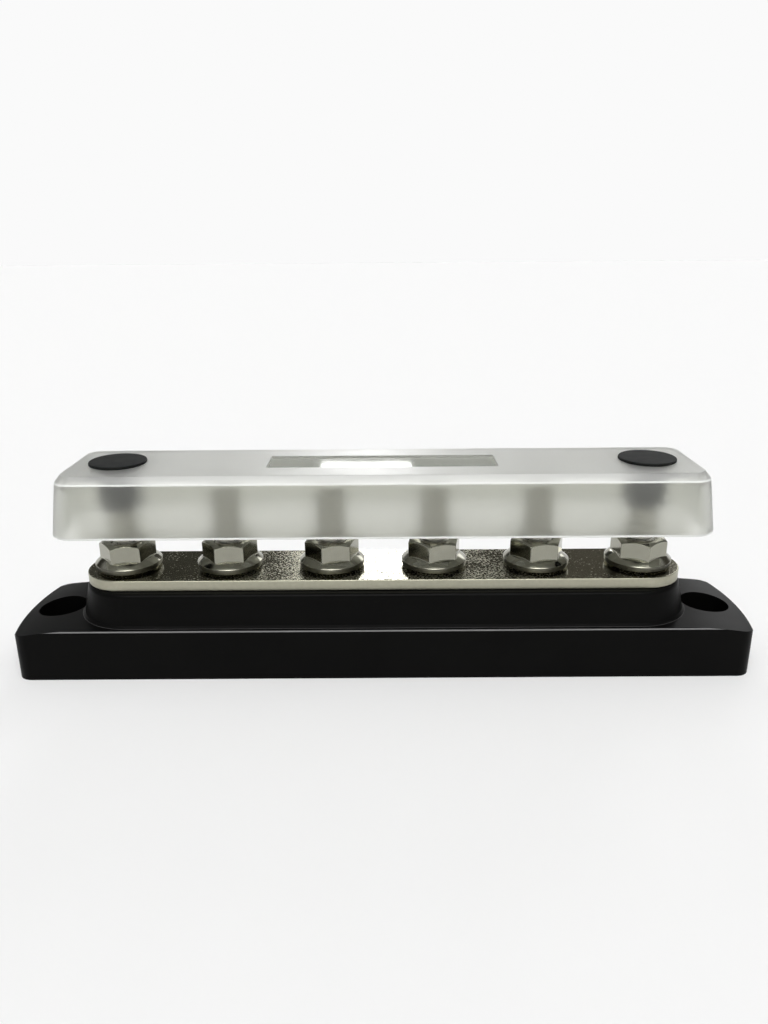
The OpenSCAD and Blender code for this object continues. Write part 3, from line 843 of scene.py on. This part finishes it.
def window_loop(bm, z):
    """The four corners of the label window at a height in mm."""
    return [bm.verts.new((x * WINDOW_HALF_X * MM, y * WINDOW_HALF_Y * MM, z * MM)) for x, y in QUARTERS]


def loop_edges(bm, loop):
    """The edges of a loop, made where they aren't there yet."""
    pairs = [(loop[k], loop[(k + 1) % len(loop)]) for k in range(len(loop))]
    return [bm.edges.get(pair) or bm.edges.new(pair) for pair in pairs]


round_trip = [math.tau * k / HOLE_STEPS for k in range(HOLE_STEPS)]
holes = [
    [turned_loop(bm, side * PLUG_X, PLUG_HOLE_R, z, round_trip) for z in (ROOF_UNDER, ROOF_TOP)]
    for side in (-1, 1)
]
for hole in holes:
    skin(bm, hole)
window = [window_loop(bm, z) for z in (ROOF_UNDER, ROOF_TOP - WINDOW_DEEP, ROOF_TOP)]
skin(bm, window[1:])
for pane in (bm.faces.new(window[0]), bm.faces.new(window[1])):
    pane.material_index = COVER_FINISHES.index(polished)
# The flat faces under the roof and on top of it, each round the window and both holes
for rim, pane, hole_level, finish in ((walls[0], window[0], 0, frosted), (walls[-1], window[2], 1, milky)):
    borders = loop_edges(bm, rim) + loop_edges(bm, pane)
    for hole in holes:
        borders += loop_edges(bm, hole[hole_level])
    for part in bmesh.ops.triangle_fill(bm, edges=borders, use_beauty=True)["geom"]:
        if isinstance(part, bmesh.types.BMFace):
            part.material_index = COVER_FINISHES.index(finish)
add_piece("frosted_cover", bm, COVER_FINISHES, "cover", "cover", COVER_SHARP_DEG)

# %% [markdown]
# ## The plugs: soft black rubber
# A plug is moulded in a soft rubber: a thin disc that lies on the cover, a neck in the cover's hole and a
# stem that grips the stud's thread. Three cylinders with bevels could stand for it, but they would cross
# each other inside. It is a turned shape, so its section is drawn once, its edges are rounded, and it is
# spun round the stud's axis.

# %% Finish: moulded rubber
rubber, tree, surface = new_finish("moulded_black_rubber")
# Soft rubber with a matt bloom: dark grey rather than black, with a wide soft sheen.
BLOOM_MM = 3.0
place = add_node(tree, "ShaderNodeTexCoord")
bloom = add_node(tree, "ShaderNodeTexNoise", inputs={"Scale": per_mm(BLOOM_MM), "Detail": 4.0},
                 links={"Vector": place.outputs["Object"]})
roughness = add_node(tree, "ShaderNodeMapRange", inputs={"To Min": 0.5, "To Max": 0.65},
                     links={"Value": bloom.outputs["Fac"]})
colour = add_node(tree, "ShaderNodeMix", {"data_type": "RGBA"},
                  {"A": linear("#111312"), "B": linear("#191b1a")}, {"Factor": bloom.outputs["Fac"]})
shader = add_node(tree, "ShaderNodeBsdfPrincipled", inputs={"IOR": 1.52, "Specular IOR Level": 0.12},
                  links={"Base Color": colour.outputs["Result"], "Roughness": roughness.outputs["Result"]})
tree.links.new(shader.outputs["BSDF"], surface)
print(rubber.name, "ready")

# %% Plugs
STUD_TOP, STEM_FOOT = 50.3, 43.0
STEM_BORE_R, STEM_R, NECK_R = 4.05, 5.5, 4.9
DISC_R, DISC_TOP, DISC_CROWN = 7.5, 56.0, 0.05
# Radius and height, from the stud's tip down the bore, round the stem and up over the disc
PLUG_OUTLINE = (
    (0, STUD_TOP), (STEM_BORE_R, STUD_TOP), (STEM_BORE_R, STEM_FOOT), (STEM_R, STEM_FOOT),
    (STEM_R, ROOF_UNDER), (NECK_R, ROOF_UNDER), (NECK_R, ROOF_TOP), (DISC_R, ROOF_TOP),
    (DISC_R, DISC_TOP - DISC_CROWN), (0, DISC_TOP),
)
PLUG_RADII = (0, 0.2, 0.2, 1.1, 0.3, 0, 0, 0.2, 0.28, 0)
# Points closer than this are one point, such as those on the axis.
SAME_POINT = 0.001 * MM


def add_plug(name, node, side):
    """Turns the plug's outline round the end stud on one side."""
    bm = bmesh.new()
    skin(bm, [turned_loop(bm, side * PLUG_X, r, z, round_trip) for r, z in rounded(PLUG_OUTLINE, PLUG_RADII)])
    bmesh.ops.remove_doubles(bm, verts=bm.verts, dist=SAME_POINT)
    add_piece(name, bm, [rubber], "cover", node)


add_plug("rubber_plug_left", "plug_left", -1)
add_plug("rubber_plug_right", "plug_right", 1)
